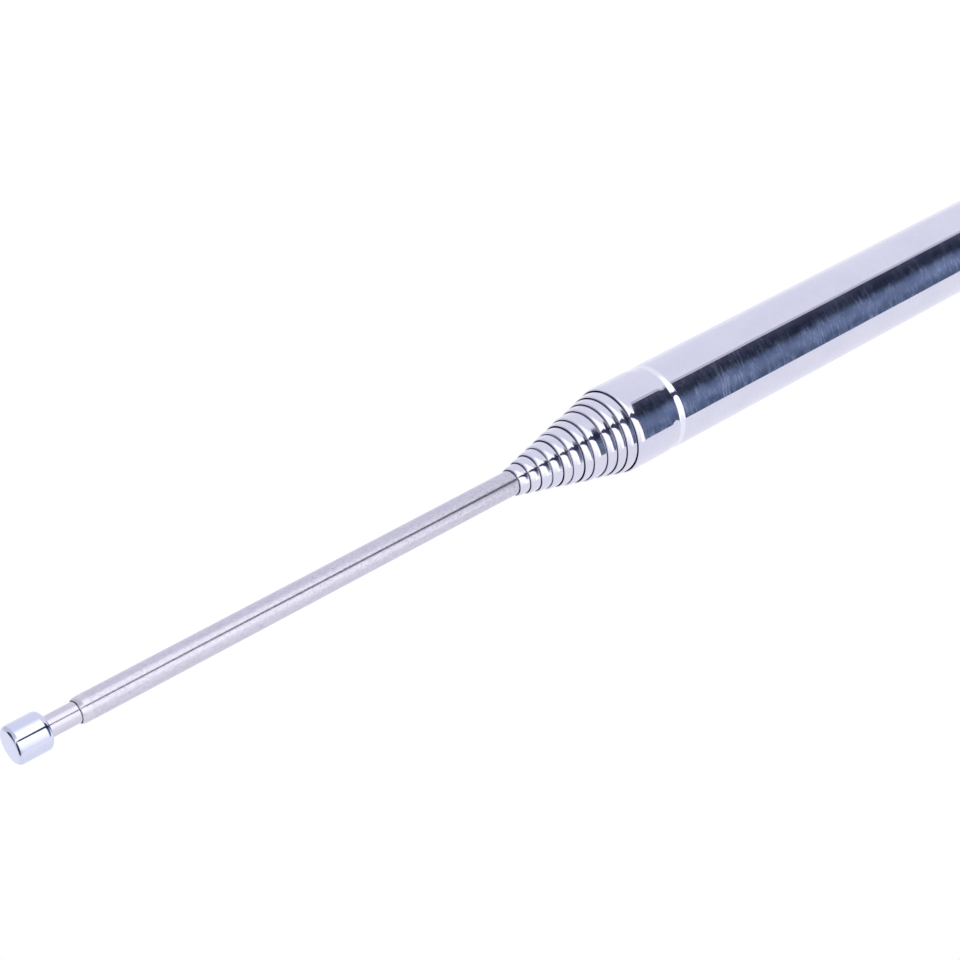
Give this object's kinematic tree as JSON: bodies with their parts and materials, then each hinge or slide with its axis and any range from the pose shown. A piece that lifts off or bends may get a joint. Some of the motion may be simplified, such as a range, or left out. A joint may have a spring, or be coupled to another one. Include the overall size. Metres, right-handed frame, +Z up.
{
  "type": "magnetic pickup tool",
  "caption": "Slim telescopic pickup tool: nested polished steel tubes with rolled lips slide out of a tube handle, with a small chromed magnet head on the tip.",
  "frame": {"origin": "on the surface that the lying tool rests on, under the middle of its length at rest", "axes": "+X along the tube from the magnet to the handle's rear end, +Z up"},
  "size_m": [0.2816, 0.0186, 0.0185],
  "materials": {
    "polished_steel": "polished, with fine scratches around the tube",
    "satin_steel": "satin, unpolished",
    "chrome": "bright plated",
    "brass": "plain turned",
    "bronze": "plain rolled strip",
    "magnet": "nickel plated",
    "rubber": "matte"
  },
  "bodies": {
    "handle": {"handle_tube": "polished_steel", "end_plug": "polished_steel", "end_pad": "rubber"},
    "ring_11": {"ring_11_tube": "polished_steel", "ring_11_bush": "brass", "ring_11_spring": "bronze"},
    "ring_10": {"ring_10_tube": "polished_steel", "ring_10_bush": "brass", "ring_10_spring": "bronze"},
    "ring_9": {"ring_9_tube": "polished_steel", "ring_9_bush": "brass", "ring_9_spring": "bronze"},
    "ring_8": {"ring_8_tube": "polished_steel", "ring_8_bush": "brass", "ring_8_spring": "bronze"},
    "ring_7": {"ring_7_tube": "polished_steel", "ring_7_bush": "brass", "ring_7_spring": "bronze"},
    "ring_6": {"ring_6_tube": "polished_steel", "ring_6_bush": "brass", "ring_6_spring": "bronze"},
    "ring_5": {"ring_5_tube": "polished_steel", "ring_5_bush": "brass", "ring_5_spring": "bronze"},
    "ring_4": {"ring_4_tube": "polished_steel", "ring_4_bush": "brass", "ring_4_spring": "bronze"},
    "ring_3": {"ring_3_tube": "polished_steel", "ring_3_bush": "brass", "ring_3_spring": "bronze"},
    "ring_2": {"ring_2_tube": "polished_steel", "ring_2_bush": "brass", "ring_2_spring": "bronze"},
    "ring_1": {"ring_1_tube": "polished_steel", "ring_1_bush": "brass", "ring_1_spring": "bronze"},
    "slim": {"slim_tube": "satin_steel", "slim_bush": "brass", "slim_spring": "bronze"},
    "stem": {"stem_tube": "satin_steel", "stem_bush": "brass", "stem_spring": "bronze", "head_cup": "chrome", "head_magnet": "magnet", "head_back_plate": "satin_steel", "head_rivet": "satin_steel"}
  },
  "joints": [
    {"name": "ring_11_slide", "type": "slide", "parent": "handle", "child": "ring_11", "axis": [-1, 0, 0], "range_m": [-0.0004, 0.1003]},
    {"name": "ring_10_slide", "type": "slide", "parent": "ring_11", "child": "ring_10", "axis": [-1, 0, 0], "range_m": [-0.00007, 0.11363]},
    {"name": "ring_9_slide", "type": "slide", "parent": "ring_10", "child": "ring_9", "axis": [-1, 0, 0], "range_m": [-0.00022, 0.11548]},
    {"name": "ring_8_slide", "type": "slide", "parent": "ring_9", "child": "ring_8", "axis": [-1, 0, 0], "range_m": [-0.00109, 0.11661]},
    {"name": "ring_7_slide", "type": "slide", "parent": "ring_8", "child": "ring_7", "axis": [-1, 0, 0], "range_m": [-0.00002, 0.11968]},
    {"name": "ring_6_slide", "type": "slide", "parent": "ring_7", "child": "ring_6", "axis": [-1, 0, 0], "range_m": [-0.00053, 0.12117]},
    {"name": "ring_5_slide", "type": "slide", "parent": "ring_6", "child": "ring_5", "axis": [-1, 0, 0], "range_m": [-0.00006, 0.12364]},
    {"name": "ring_4_slide", "type": "slide", "parent": "ring_5", "child": "ring_4", "axis": [-1, 0, 0], "range_m": [-0.0004, 0.1253]},
    {"name": "ring_3_slide", "type": "slide", "parent": "ring_4", "child": "ring_3", "axis": [-1, 0, 0], "range_m": [-0.00046, 0.12724]},
    {"name": "ring_2_slide", "type": "slide", "parent": "ring_3", "child": "ring_2", "axis": [-1, 0, 0], "range_m": [-0.00034, 0.12936]},
    {"name": "ring_1_slide", "type": "slide", "parent": "ring_2", "child": "ring_1", "axis": [-1, 0, 0], "range_m": [-0.00033, 0.13137]},
    {"name": "slim_slide", "type": "slide", "parent": "ring_1", "child": "slim", "axis": [-1, 0, 0], "range_m": [-0.0975, 0.0362]},
    {"name": "stem_slide", "type": "slide", "parent": "slim", "child": "stem", "axis": [-1, 0, 0], "range_m": [-0.0052, 0.1313]}
  ]
}
